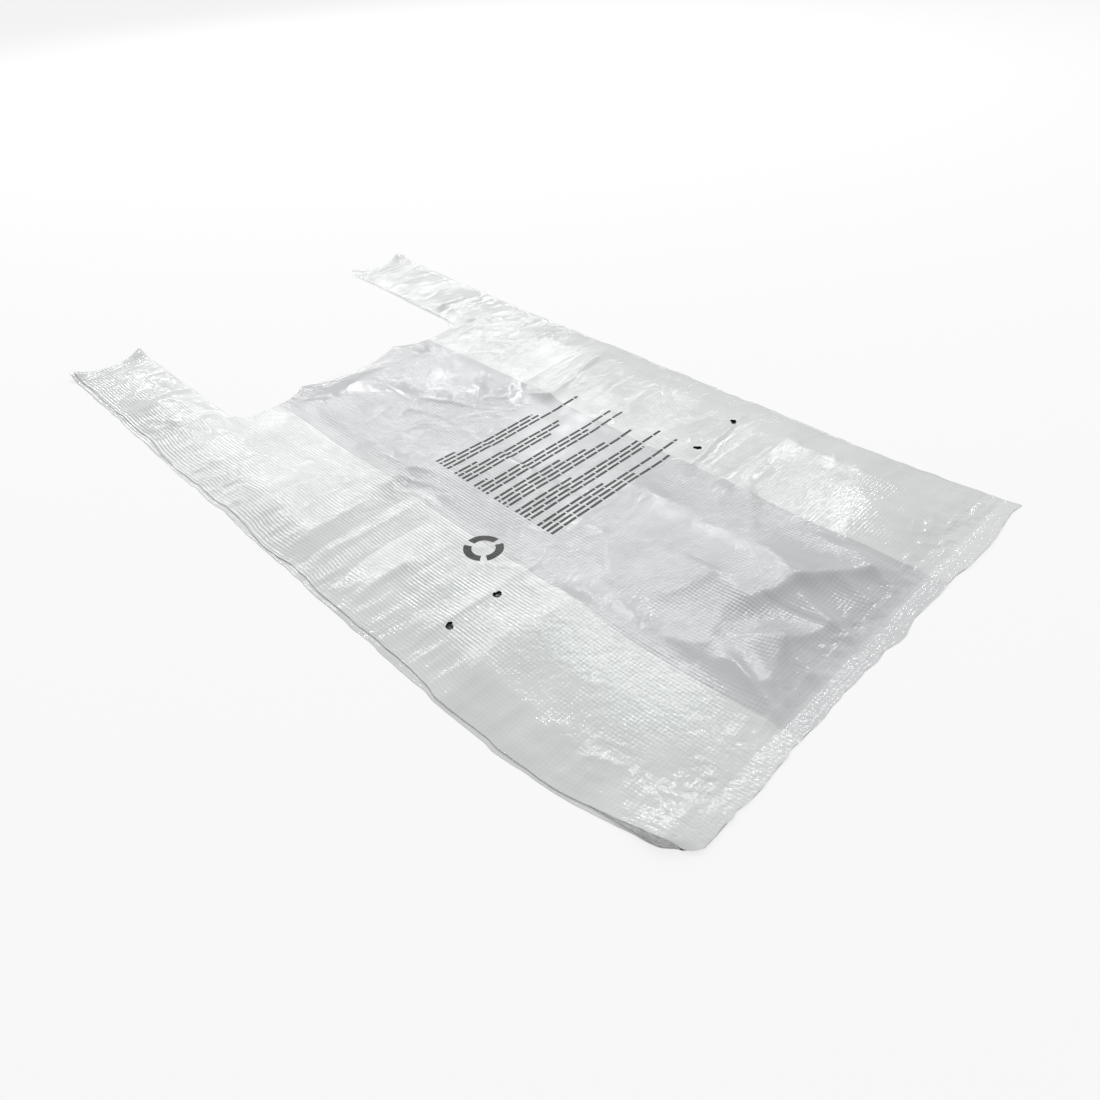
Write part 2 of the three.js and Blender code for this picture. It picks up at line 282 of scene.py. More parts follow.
def rows_up_the_bag():
    """Heights of all grid points: straight rows, rows that bend to the mouth, the handles' rows."""
    vent_low = VENTS[:, 1].min() - VENT_MARGIN
    vent_high = VENTS[:, 1].max() + VENT_MARGIN
    low = spread(0, WELD_ROWS_END, spacing=WELD_ROW_SPACING)
    below = spread(WELD_ROWS_END, vent_low, spacing=ROW_SPACING)[1:]
    beside = spread(vent_low, vent_high, spacing=VENT_SPACING)[1:]
    above = spread(vent_high, MOUTH, spacing=ROW_SPACING)[1:]
    body = np.concatenate([low, below, beside, above])[:, None]
    bend = np.clip((body - BEND_START) / (MOUTH - BEND_START), 0, 1)
    body = np.minimum(body, BEND_START) + bend * (mouth_height(station_x) - BEND_START)
    handle = spread(HANDLE_ROOT, LENGTH, spacing=ROW_SPACING)[1:, None] + 0 * station_x
    return np.concatenate([body, handle]), len(body)


flat_y, body_rows = rows_up_the_bag()
flat_x = np.broadcast_to(station_x, flat_y.shape).copy()
ply = np.broadcast_to(station_ply, flat_y.shape)
print("rows:", flat_y.shape[0], "of which in the body:", body_rows)

# %% [markdown]
# ## Vents
# Four small round vents are punched through the sides. A hole in a grid can be made without any
# boolean: the front ply's points close to its rim are moved onto the rim, and the faces inside are
# left out. The plies underneath stay whole and carry painted shade there, dark as the inside of a
# hole, which looks much the same from above and keeps their columns wide. The rim is a little
# ragged, as punched film is.

# %% Vents
SNAP = 0.55 * VENT_SPACING
front = ply > 0.999


def ragged_radius(angle, which):
    """A vent's rim: a circle with a two-lobed and a three-lobed wobble, turned for each vent."""
    wobble = 0.16 * np.sin(2 * angle + 2.1 * which) + 0.10 * np.sin(3 * angle + which)
    return VENT_RADIUS * (1 + wobble)


def punch(x, y):
    """Move points near each rim onto it, and say which points lie in or on a vent."""
    inside = np.zeros(x.shape, bool)
    for which, (cx, cy) in enumerate(VENTS):
        dx, dy = x - cx, y - cy
        away = np.hypot(dx, dy)
        rim = ragged_radius(np.arctan2(dy, dx), which)
        snap = front & (np.abs(away - rim) < SNAP)
        x[snap] = cx + (dx * rim / np.maximum(away, 0.1))[snap]
        y[snap] = cy + (dy * rim / np.maximum(away, 0.1))[snap]
        inside |= front & (snap | (away < rim))
    return inside


in_vent = punch(flat_x, flat_y)
print("grid points in or on a vent:", int(in_vent.sum()))

# %% [markdown]
# ## Fold lines and soft creases
# The bag was stored folded, so sharp lines cross it, each with a steep side and a gentle one. A
# crease here is a height that falls away from a line as an exponential, with a reach of its own on
# each side: that keeps the line crisp, where a bell would make it round. The lines run through a
# slightly shifted plane, so that none is perfectly straight.

# %% Creases
# Each crease: x and y of its start and end, its height, and its reach below and above the line.
CREASES = [
    (-150, 268, -46, 272, 2.6, 10, 24), (-150, 247, -62, 245, 1.0, 5, 4),
    (-150, 289, -78, 291, 0.5, 4, 6), (-150, 205, -106, 207, 2.0, 2.5, 6),
    (-150, 162, -64, 158, 1.0, 4, 9), (-148, 127, -66, 129, 3.3, 26, 15),
    (66, 275, 150, 294, 3.6, 5, 16), (70, 360, 150, 340, 1.4, 8, 12),
    (96, 412, 150, 395, 1.2, 7, 9), (68, 156, 150, 165, 1.8, 5, 9),
    (66, 132, 150, 126, 2.0, 20, 8), (70, 220, 150, 214, 1.0, 12, 9),
    (97, 443, 150, 443, 2.8, 3, 14), (96, 434, 150, 436, 0.9, 3, 4),
    (97, 500, 150, 492, 1.2, 6, 9), (-150, 482, -97, 467, 2.2, 22, 10),
    (-150, 500, -110, 489, 0.9, 6, 8), (-38, 400, 52, 302, 1.9, 16, 40),
    (-50, 284, -47, 398, 0.8, 4, 4), (-50, 18, -52, 140, 0.7, 16, 8),
    (31, 52, 27, 168, 1.2, 12, 11), (52, 14, 57, 62, 1.6, 5, 6),
]
# Puckers that the bottom weld gathers in the middle panel, in the same form.
PUCKERS = [
    (-8, 62, 18, 53, 3.4, 5, 26), (18, 53, 45, 31, 4.4, 4, 22), (-60, 13, -46, 44, 2.6, 3, 5),
    (-54, 13, -34, 30, 2.0, 3, 4), (-32, 15, -22, 37, 3.6, 4, 7), (0, 15, 9, 44, 2.8, 3, 8),
    (24, 14, 31, 36, 3.0, 4, 5), (-46, 25, -24, 34, 2.4, 3, 12), (-20, 33, 2, 27, 2.2, 3, 9),
    (40, 13, 46, 30, 2.0, 3, 4), (-44, 62, -18, 70, 1.2, 6, 12), (-30, 96, -2, 88, 1.2, 5, 12),
    (-40, 122, -16, 150, 1.3, 5, 9), (40, 96, 62, 110, 1.0, 5, 8),
]
CREASE_ROUND = 0.15
CREASE_END = 7.0


def crease(x, y, line):
    """Height times exp(-d), d being the distance to the line in reaches, rounded at the line."""
    x0, y0, x1, y1, height, below, above = line
    dx, dy = x1 - x0, y1 - y0
    length = np.hypot(dx, dy)
    along = ((x - x0) * dx + (y - y0) * dy) / length
    across = ((y - y0) * dx - (x - x0) * dy) / length
    past = np.maximum(0, np.maximum(-along, along - length)) / CREASE_END
    reach = np.where(across > 0, above, below)
    d = np.sqrt((across / reach) ** 2 + past ** 2 + CREASE_ROUND ** 2) - CREASE_ROUND
    return height * np.exp(-d)


def fold_relief(x, y):
    """All creases and puckers added up, on a plane shifted by soft hills of about 2 mm."""
    sx = x + 2.0 * hills(x, y, 28, 11)
    sy = y + 2.2 * hills(x, y, 34, 12)
    return sum(crease(sx, sy, line) for line in CREASES + PUCKERS)


print("creases:", len(CREASES), "puckers:", len(PUCKERS))

# %% [markdown]
# ## Crumpled areas
# Between the folds the film is crumpled in patches, with short sharp ridges that catch the light.
# One minus the size of the soft hills, cubed, gives exactly that: ridges along the lines where the
# hills cross zero. Each patch is a bell with its own size and grain.

# %% Crumples
# Each patch: x, y, its reach each way, the ridges' height and the size of their grain.
PATCHES = [
    (-12, 316, 46, 32, 0.9, 15), (-54, 272, 18, 24, 0.7, 11), (-4, 17, 56, 8, 1.3, 8),
    (108, 20, 48, 14, 0.9, 9), (-112, 17, 42, 9, 0.8, 8), (-122, 446, 30, 22, 0.8, 13),
    (120, 530, 26, 34, 0.6, 14), (108, 372, 40, 40, 0.9, 12), (-58, 160, 22, 26, 0.6, 10),
    (-122, 540, 26, 20, 0.5, 11), (-134, 40, 16, 50, 0.6, 10), (30, 290, 30, 18, 0.6, 12),
]


def crumple_relief(x, y):
    """Sum over the patches of bell times ridges."""
    total = np.zeros(x.shape)
    for seed, (cx, cy, rx, ry, height, grain) in enumerate(PATCHES):
        ridges = (1 - np.abs(hills(x + 0.4 * y, y - 0.3 * x, grain, 40 + seed))) ** 3
        total += height * ridges * bell(x - cx, rx) * bell(y - cy, ry)
    return total


def pleats(x, y):
    """Small pleats across the side edges: wide and narrow ridges that fade in from 34 mm inside."""
    wide = (1 - np.abs(hills(y + 0.15 * x, 0.2 * x, 9, 71))) ** 2
    narrow = (1 - np.abs(hills(y, 0.3 * x, 4.5, 72))) ** 3
    away = np.abs(x)
    share = step(away, SIDE - 34, SIDE - 10) * (1 - 0.8 * step(away, SIDE - 9, SIDE))
    return 0.5 * (wide + 0.6 * narrow) * share


def soft_relief(x, y):
    """The panels' slow rise and fall: hills of two sizes."""
    return 0.40 * (1 + hills(x, y, 52, 3)) + 0.16 * (1 + hills(x, y, 19, 4))


print("crumpled patches:", len(PATCHES))

# %% [markdown]
# ## Laying the plies
# Now every grid point gets its place. The stack is two plies high in the middle and four at the
# sides, the weld presses it flat, the near bottom corner curls up and is drawn in, and the handle
# tips end in small ears. The upper pair of plies lies a few millimetres inside the lower pair,
# which gives the double line along both side edges.

# %% Laying the plies
CORNER_LIFT, CORNER_REACH, BACK_SHARE = 4.6, 48.0, 0.04
NEAR_DRAW, FAR_DRAW, DRAW_REACH = 20.0, 6.0, 110.0
EAR_LIFT, EAR_REACH = 3.8, 15.0
UPPER_INSET, INSET_WAVE = 2.6, 1.6
LEAN_IN = 0.5
CORNER_ROUND = 9.0
CROWN, WELD_PRESS, WELD_HALF = 0.9, 0.5, 2.0
HANDLE_LEAN, TIP_DIP = 4.0, 5.0


def stack_height(x, y):
    """Height of the front ply over the back one: the plies between them, and a crown at the sides."""
    plies = PLY_PITCH + 2 * PLY_PITCH * step(np.abs(x), GUSSET_LINE - 7, GUSSET_LINE - 0.5)
    across = np.clip((np.abs(x) - GUSSET_LINE) / (SIDE - GUSSET_LINE), 0, 1)
    crown = CROWN * np.sin(np.pi * across)
    welds = bell(y - BOTTOM_WELD, WELD_HALF) + bell(y - TIP_WELD, WELD_HALF)
    pressed = 1 - WELD_PRESS * welds
    return pressed * (plies + crown * settled(y, 40) * held_down(x, y, 0.1))


def settled(y, reach):
    """1 over the bag and 0 at the welds, where the film is held flat, over that reach."""
    return step(y, BOTTOM_WELD - 1, BOTTOM_WELD + reach) * (1 - step(y, TIP_WELD - reach, TIP_WELD + 1))


def held_down(x, y, share):
    """1 over the panels, falling to that share at the side edges, mouth and inner handle edges."""
    side = step(np.abs(x), SIDE - 26, SIDE)
    inner = (1 - step(np.abs(x), HANDLE_EDGE, HANDLE_EDGE + 16)) * step(y, MOUTH - 20, MOUTH)
    return 1 - (1 - share) * np.maximum(side, inner)


def curl(x, y, ply):
    """The lift of the near bottom corner, less on the back ply, and of each handle tip's two ears."""
    corner = 1 - step(np.hypot(x + SIDE, y), 0, CORNER_REACH)
    away = np.abs(x)
    outer_ear = np.hypot(SIDE - away, LENGTH - y)
    inner_ear = np.hypot(away - HANDLE_EDGE, LENGTH - y)
    ear = np.minimum(outer_ear, inner_ear)
    share = BACK_SHARE + (1 - BACK_SHARE) * step(ply, 2 / 3, 1) * step(y, -3, BOTTOM_WELD + 3)
    return CORNER_LIFT * corner * share + EAR_LIFT * (1 - step(ear, 0, EAR_REACH))


def edge_wander(x, y, ply):
    """How far the plies shift sideways: the upper pair's inset, and two waves along each edge."""
    upper = step(ply, 1 / 3, 2 / 3)
    side = np.sign(x)
    inset = UPPER_INSET + INSET_WAVE * hills(y, 0 * y + 7 * side, 31, 21)
    inset *= upper * step(y, 8, 60)
    inset += LEAN_IN * curl(x, y, ply) * (x < 0) * (y < MOUTH)
    wave = 0.9 * hills(y, 0 * y + 13 * side, 23, 22) + 0.6 * hills(y, 0 * y + 9 * side, 8, 23)
    return (wave - side * inset) * step(np.abs(x), GUSSET_LINE, SIDE)


def ragged_bottom(x, y):
    """The cut bottom edge: two sizes of hills and a rounded near corner, gone 14 mm up."""
    corner = np.clip(-x - (SIDE - CORNER_ROUND), 0, CORNER_ROUND)
    rounding = CORNER_ROUND - np.sqrt(CORNER_ROUND ** 2 - corner ** 2)
    hilly = 1.5 * hills(x, 0 * x, 17, 31) + 0.6 * hills(x, 0 * x, 6, 32)
    return (hilly + rounding) * (1 - step(y, 0, 14))


def lay(x, y, ply):
    """Every point's place: flat place plus draw and wander, with height from all the reliefs."""
    folds = settled(y, 7) * held_down(x, y, 0.15) * fold_relief(x, y)
    slow = settled(y, 30) * held_down(x, y, 0.1) * soft_relief(x, y)
    skin = step(ply, 2 / 3, 1.0)
    z = FILM / 2 + ply * (stack_height(x, y) + folds + slow) + curl(x, y, ply)
    z += skin * settled(y + 3, 7) * (held_down(x, y, 0.3) * crumple_relief(x, y) + pleats(x, y))
    draw = np.maximum(0, 1 - y / DRAW_REACH) ** 2
    draw *= FAR_DRAW + (NEAR_DRAW - FAR_DRAW) * ((SIDE - x) / (2 * SIDE)) ** 6
    lean = HANDLE_LEAN * step(y, MOUTH, LENGTH) * (x > 0)
    off_middle = (np.abs(x) - (HANDLE_EDGE + SIDE) / 2) / (HANDLE_WIDTH / 2)
    dip = TIP_DIP * (1 - np.clip(off_middle, -1, 1) ** 2) * step(y, LENGTH - 40, LENGTH)
    return x + draw + lean + edge_wander(x, y, ply), y - dip + ragged_bottom(x, y), z


place_x, place_y, place_z = lay(flat_x, flat_y, ply)
print("heights from", round(place_z.min(), 2), "to", round(place_z.max(), 2), "mm")

# %% [markdown]
# ## Painted shares
# Some of the finish changes over the bag: how far a point is past the gusset's fold, how crinkled
# the film is, and how strong each half of the embossing is. These could be masks in the shader, but
# they are easier to write as arrays here, where the tools above are at hand. The mesh carries them
# as attributes. Near the bottom the embossing shows as dots, farther up as lines.

# %% Painted shares
# Lines along which the film is drawn smooth, in the form of the creases.
SMOOTH = [
    (-44, 402, 56, 296, 0.6, 10, 13), (-53, 14, -53, 140, 0.8, 10, 4), (24, 60, 20, 170, 0.95, 8, 6),
]
wander = 0.6 * hills(flat_y, 0 * flat_y + 5 * np.sign(flat_x), 47, 61)
tuck = np.abs(flat_x) - GUSSET_LINE - wander
crumpled = sum(bell(flat_x - p[0], p[2]) * bell(flat_y - p[1], p[3]) for p in PATCHES)
at_bottom = bell(flat_y - BOTTOM_WELD - 5, 8)
at_tips = bell(flat_y - TIP_WELD + 4, 12)
crinkle = 0.12 + at_bottom + 0.4 * at_tips + 0.35 * crumpled
centre = 1 - step(np.abs(flat_x), GUSSET_LINE - 2, GUSSET_LINE + 2)
near = 1 - step(flat_y, 115, 145)
side_lines = 1.1 - near * np.where(flat_x < 0, 0.82, 0.7)
side_dots = 0.30 + 0.12 * near
centre_dots = 0.45 + 0.45 * (1 - step(flat_y, 180, 240))
smooth = np.prod([1 - crease(flat_x, flat_y, line) for line in SMOOTH], axis=0)
SHARES = {
    "tuck": tuck,
    "crinkle": crinkle,
    "emboss_lines": (centre + (1 - centre) * side_lines) * smooth,
    "emboss_dots": (centre * centre_dots + (1 - centre) * side_dots) * smooth,
}
print("painted shares:", list(SHARES))

# %% [markdown]
# ## The mesh
# The grid becomes quads: all the way round the tube in the body rows, and only over the handles'
# stations above the mouth. Faces in a vent are left out. The flat position of each point is kept
# as an attribute, so that the material can lay its pattern on the film as it came off the roll
# and not on the creased shape.

# %% Film mesh


def grid_quads():
    """Corner numbers of every face: the tube closed on itself, its mouth, handles and vents left open."""
    rows, stations = flat_y.shape
    number = np.arange(rows * stations).reshape(rows, stations)
    nxt = np.roll(number, -1, axis=1)
    quads = np.stack([number[:-1], nxt[:-1], nxt[1:], number[1:]], -1)
    keep = np.ones(quads.shape[:2], bool)
    keep[body_rows - 1:] = in_handle & np.roll(in_handle, -1)
    keep &= ~in_vent.ravel()[quads].all(-1)
    return quads[keep]


def film_mesh(name):
    """The mesh of all points that a face uses, in metres, with the flat place and the painted shares."""
    quads = grid_quads()
    used, faces = np.unique(quads, return_inverse=True)
    faces = faces.reshape(-1, 4)
    points = to_frame(np.stack([place_x, place_y, place_z], -1).reshape(-1, 3)[used])
    mesh = bpy.data.meshes.new(name)
    mesh.vertices.add(len(points))
    mesh.vertices.foreach_set("co", points.ravel())
    mesh.loops.add(faces.size)
    mesh.loops.foreach_set("vertex_index", faces.ravel().astype(np.int32))
    mesh.polygons.add(len(faces))
    mesh.polygons.foreach_set("loop_start", np.arange(0, faces.size, 4, dtype=np.int32))
    mesh.polygons.foreach_set("use_smooth", np.ones(len(faces), bool))
    flat = np.stack([flat_x * MM, flat_y * MM, ply], -1).reshape(-1, 3)[used]
    mesh.attributes.new("flat", "FLOAT_VECTOR", "POINT").data.foreach_set("vector", flat.ravel())
    for key, values in SHARES.items():
        mesh.attributes.new(key, "FLOAT", "POINT").data.foreach_set("value", values.ravel()[used])
    mesh.update(calc_edges=True)
    mesh.validate()
    return mesh


film = bpy.data.objects.new("carrier_bag_film", film_mesh("carrier_bag_film"))
bpy.context.scene.collection.objects.link(film)
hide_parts("carrier_bag")
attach(film, "root")
print("film triangles:", 2 * len(film.data.polygons))

# %% [markdown]
# ## A short way to write shader nodes
# A shader tree made by hand in the editor is quick to draw but long to write in code, because each
# node has to be made, set and linked. This small class does the three at once: each method makes
# a node or two, feeds them numbers or other nodes' outputs, and returns the result.

# %% Node helpers


class Nodes:
    """A material's node tree, with one method for each kind of node that this script uses."""

    def __init__(self, material):
        material.use_nodes = True
        self.tree = material.node_tree
        self.shader = self.tree.nodes["Principled BSDF"]
        self.output = self.tree.nodes["Material Output"]

    def feed(self, socket, value):
        if isinstance(value, bpy.types.NodeSocket):
            self.tree.links.new(value, socket)
        else:
            socket.default_value = value

    def math(self, operation, a, b=0.0):
        node = self.tree.nodes.new("ShaderNodeMath")
        node.operation = operation
        self.feed(node.inputs[0], a)
        self.feed(node.inputs[1], b)
        return node.outputs[0]

    def attribute(self, name):
        node = self.tree.nodes.new("ShaderNodeAttribute")
        node.attribute_name = name
        return node

    def ramp(self, value, low, high, to_low=0.0, to_high=1.0):
        node = self.tree.nodes.new("ShaderNodeMapRange")
        node.interpolation_type = "SMOOTHSTEP"
        for socket, v in zip(node.inputs[:5], (value, low, high, to_low, to_high)):
            self.feed(socket, v)
        return node.outputs[0]

    def texture(self, vector, scale, detail, stretch):
        place = self.tree.nodes.new("ShaderNodeMapping")
        self.feed(place.inputs["Vector"], vector)
        place.inputs["Scale"].default_value = stretch
        node = self.tree.nodes.new("ShaderNodeTexNoise")
        self.feed(node.inputs["Vector"], place.outputs[0])
        node.inputs["Scale"].default_value = scale
        node.inputs["Detail"].default_value = detail
        return node

    def noise(self, vector, scale, detail=2.0, stretch=(1, 1, 1)):
        return self.texture(vector, scale, detail, stretch).outputs[0]

    def ridges(self, vector, scale, stretch=(1, 1, 1)):
        node = self.texture(vector, scale, 2.0, stretch)
        node.noise_type = "RIDGED_MULTIFRACTAL"
        node.normalize = False
        for key, value in (("Roughness", 0.5), ("Offset", 1.0), ("Gain", 1.0)):
            node.inputs[key].default_value = value
        return node.outputs[0]

    def product(self, first, *others):
        for other in others:
            first = self.math("MULTIPLY", first, other)
        return first

    def mix(self, factor, a, b, blend="MIX"):
        node = self.tree.nodes.new("ShaderNodeMix")
        node.data_type = "RGBA"
        node.blend_type = blend
        self.feed(node.inputs["Factor"], factor)
        self.feed(node.inputs["A"], a)
        self.feed(node.inputs["B"], b)
        return node.outputs["Result"]

    def bump(self, height, distance, normal=None):
        node = self.tree.nodes.new("ShaderNodeBump")
        node.inputs["Distance"].default_value = distance
        self.feed(node.inputs["Height"], height)
        if normal is not None:
            self.feed(node.inputs["Normal"], normal)
        return node.outputs[0]


print("node helpers ready")

# %% [markdown]
# ## Embossing, print and vents
# The film is embossed with a fine square lattice, two millimetres from bump to bump, whose glints
# are what the eye reads as thin plastic. Two cosines at right angles make it. The print is plain
# bars in blocks of four rows and a ring of three arcs; an image could do this, but comparing the
# flat place with a few numbers keeps the edges sharp at any size.

# %% Film patterns
EMBOSS_PITCH = 2.0 * MM
EMBOSS_TURN = np.radians(1)
PRINT_LOW, PRINT_LEFT, PRINT_PITCH = 170 * MM, -35 * MM, 3.6 * MM
PRINT_ROWS, BLOCK_ROWS, BAR_SHARE = 29, 5, 0.52
ROW_SHORT, ROW_LONG, HEADING_CUT = 70 * MM, 118 * MM, 60 * MM
WORD_PITCH, WORD_SHARE, WORD_SHIFT = 10.5 * MM, 0.92, 7
RING_CENTRE, RING_OUTER, RING_INNER = (-68 * MM, 189 * MM), 11 * MM, 6.5 * MM
ARC_ANGLE, ARC_SHARE = 2 * np.pi / 3, 0.82
SHADE_REACH, HIDDEN_PLY = 5 * MM, 0.9
FRONT_PLY = 0.95


def lattice(n, x, y):
    """The embossing: a cosine across the bag and one along it, each times its painted share, added."""
    c, s = np.cos(EMBOSS_TURN), np.sin(EMBOSS_TURN)
    waves = []
    for a, b, share in ((c, s, "emboss_lines"), (-s, c, "emboss_dots")):
        along = n.math("ADD", n.math("MULTIPLY", x, a), n.math("MULTIPLY", y, b))
        wave = n.math("COSINE", n.math("MULTIPLY", along, 2 * np.pi / EMBOSS_PITCH))
        waves.append(n.math("MULTIPLY", wave, n.attribute(share).outputs["Fac"]))
    return n.math("ADD", *waves)


def vent_shade(n, flat, layer):
    """1 on the hidden plies under a vent, where no light comes through the stack."""
    nearest = 1.0
    for cx, cy in VENTS:
        node = n.tree.nodes.new("ShaderNodeVectorMath")
        node.operation = "DISTANCE"
        node.inputs[1].default_value = (cx * MM, cy * MM, 2 / 3)
        n.feed(node.inputs[0], flat)
        nearest = n.math("MINIMUM", nearest, node.outputs["Value"])
    return n.product(n.math("LESS_THAN", nearest, SHADE_REACH), n.math("LESS_THAN", layer, HIDDEN_PLY))


def bars(n, x, y):
    """1 on the bars: rows of broken bars, one row in five left out and the one before it short."""
    row = n.math("DIVIDE", n.math("SUBTRACT", y, PRINT_LOW), PRINT_PITCH)
    index = n.math("FLOOR", row)
    in_block = n.math("FLOORED_MODULO", index, BLOCK_ROWS)
    white = n.tree.nodes.new("ShaderNodeTexWhiteNoise")
    white.noise_dimensions = "1D"
    n.feed(white.inputs["W"], index)
    chance = white.outputs["Value"]
    heading = n.math("MULTIPLY", n.math("COMPARE", in_block, BLOCK_ROWS - 2), HEADING_CUT)
    length = n.math("SUBTRACT", n.ramp(chance, 0, 1, ROW_SHORT, ROW_LONG), heading)
    along = n.math("SUBTRACT", x, PRINT_LEFT)
    word = n.math("ADD", n.math("DIVIDE", along, WORD_PITCH), n.math("MULTIPLY", chance, WORD_SHIFT))
    return n.product(
        n.math("LESS_THAN", n.math("FRACT", row), BAR_SHARE),
        n.math("LESS_THAN", in_block, BLOCK_ROWS - 1.5),
        n.math("GREATER_THAN", along, 0),
        n.math("LESS_THAN", along, length),
        n.math("LESS_THAN", n.math("FRACT", word), WORD_SHARE),
        n.math("LESS_THAN", y, PRINT_LOW + PRINT_ROWS * PRINT_PITCH),
        n.math("GREATER_THAN", y, PRINT_LOW),
    )


def ring(n, x, y):
    """1 on the ring: between two radii, in the first part of each third of a turn."""
    dx = n.math("SUBTRACT", x, RING_CENTRE[0])
    dy = n.math("SUBTRACT", y, RING_CENTRE[1])
    away = n.math("SQRT", n.math("ADD", n.math("MULTIPLY", dx, dx), n.math("MULTIPLY", dy, dy)))
    third = n.math("FRACT", n.math("DIVIDE", n.math("ARCTAN2", dy, dx), ARC_ANGLE))
    return n.product(
        n.math("LESS_THAN", away, RING_OUTER),
        n.math("GREATER_THAN", away, RING_INNER),
        n.math("LESS_THAN", third, ARC_SHARE),
    )


def printed(n, x, y, layer):
    """1 where the front ply is printed: on the bars or on the ring."""
    marks = n.math("MAXIMUM", bars(n, x, y), ring(n, x, y))
    return n.math("MULTIPLY", marks, n.math("GREATER_THAN", layer, FRONT_PLY))


print("print rows:", PRINT_ROWS, "emboss pitch:", EMBOSS_PITCH / MM, "mm")

# %% [markdown]
# ## The film's finish
# Thin film like this is milky: where only two plies lie over each other it is greyer, and where
# the gussets double it to four it is whiter. Real film lets light through, but many thin clear
# layers are slow and noisy to render, so the colour follows the ply count and slow clouds instead.
# The colour also carries painted light: painted glint on the emboss, painted sheen at the bottom
# weld, painted light on the fold walls and painted shade under the vents.
# Gloss comes from a low roughness. Five bumps follow one another, each on top of the last: the
# embossing, the crinkles, the gathers at the welds, the long wrinkles of the sides and a fine grain.

# %% Film material
TWO_PLIES, FOUR_PLIES = (0.525, 0.533, 0.543, 1), (0.664, 0.686, 0.68, 1)
# Next line: painted sheen that lightens the bottom weld, and painted light that lightens the fold walls.
WELD_SHEEN, FOLD_PAINTED_LIGHT = (0.76, 0.765, 0.77, 1), (0.88, 0.885, 0.89, 1)
INK, SHADE = (0.008, 0.008, 0.009, 1), (0.012, 0.012, 0.012, 1)
# How far the painted weld sheen lightens the film.
WELD_SHEEN_SHARE = 0.55
INK_ROUGHNESS = 0.35
FILM_IOR = 1.5
RIB_PITCH = 2.2 * MM
EMBOSS_DEPTH, CRINKLE_DEPTH, GATHER_DEPTH = 0.042 * MM, 0.22 * MM, 0.10 * MM
WRINKLE_DEPTH, GRAIN_DEPTH = 0.34 * MM, 0.25 * MM


def film_colour(n, flat, y, layer, doubled, emboss, ink):
    """Ply colour times clouds, streaks and emboss tone, partly whiter bumps and partly painted glint;
    then painted sheen on the weld, painted light on the fold walls, painted shade in the vents, and ink.
    """
    colour = n.mix(doubled, TWO_PLIES, FOUR_PLIES)
    clouds = n.ramp(n.noise(flat, 22, 3), 0.3, 0.7, 0.94, 1.04)
    streaks = n.ramp(n.noise(flat, 90, 2, (1, 0.04, 1)), 0.3, 0.7, 0.97, 1.02)
    # The emboss ramp lightens the bumps: partly their thinner, whiter film, partly painted glint.
    tone_and_painted_glint = n.product(clouds, streaks, n.ramp(emboss, -1.6, 1.6, 0.96, 1.035))
    colour = n.mix(1.0, colour, tone_and_painted_glint, "MULTIPLY")
    # Painted sheen: the lowest 22 mm of film is lightened to stand in for the glints of the crinkled weld
    # zone.
    colour = n.mix(n.ramp(y, 0.022, 0.008, 0.0, WELD_SHEEN_SHARE), colour, WELD_SHEEN)
    # Painted light: the fold walls from the third ply up to the front sit in shade, so they are whitened
    # to stand in for light coming through the folded film.
    painted_fold_light = n.math("MULTIPLY", n.ramp(layer, 0.68, 0.76), n.ramp(layer, 0.999, 0.97))
    colour = n.mix(painted_fold_light, colour, FOLD_PAINTED_LIGHT)
    # Painted shade on the hidden plies under each vent.
    colour = n.mix(vent_shade(n, flat, layer), colour, SHADE)
    return n.mix(ink, colour, INK)


def film_normal(n, flat, x, y, tucked, emboss):
    """The five bumps in turn: embossing, crinkles, weld gathers, side wrinkles and grain."""
    patchy = n.ramp(n.noise(flat, 45, 2), 0.35, 0.65, 0.35, 1.0)
    depth = n.math("MULTIPLY", patchy, n.ramp(n.noise(flat, 260, 2), 0.3, 0.7, 0.5, 1.3))
    normal = n.bump(n.math("MULTIPLY", emboss, depth), EMBOSS_DEPTH)
    crinkles = n.math("MULTIPLY", n.ridges(flat, 110), n.attribute("crinkle").outputs["Fac"])
    normal = n.bump(crinkles, CRINKLE_DEPTH, normal)
    weld = n.math("MAXIMUM", n.ramp(y, 0.020, 0.010), n.ramp(y, 0.546, 0.557))
    rib = n.math("COSINE", n.math("MULTIPLY", x, 2 * np.pi / RIB_PITCH))
    gathers = n.math("ADD", n.math("MULTIPLY", rib, 0.25), n.ridges(flat, 280))
    normal = n.bump(n.math("MULTIPLY", gathers, weld), GATHER_DEPTH, normal)
    sides = n.math("MULTIPLY", n.ramp(tucked, 1.0, 15.0), n.ramp(y, 0.12, 0.17))
    wrinkles = n.math("MULTIPLY", n.ridges(flat, 48, (0.22, 1, 1)), sides)
    normal = n.bump(wrinkles, WRINKLE_DEPTH, normal)
    return n.bump(n.noise(flat, 160, 4), GRAIN_DEPTH, normal)


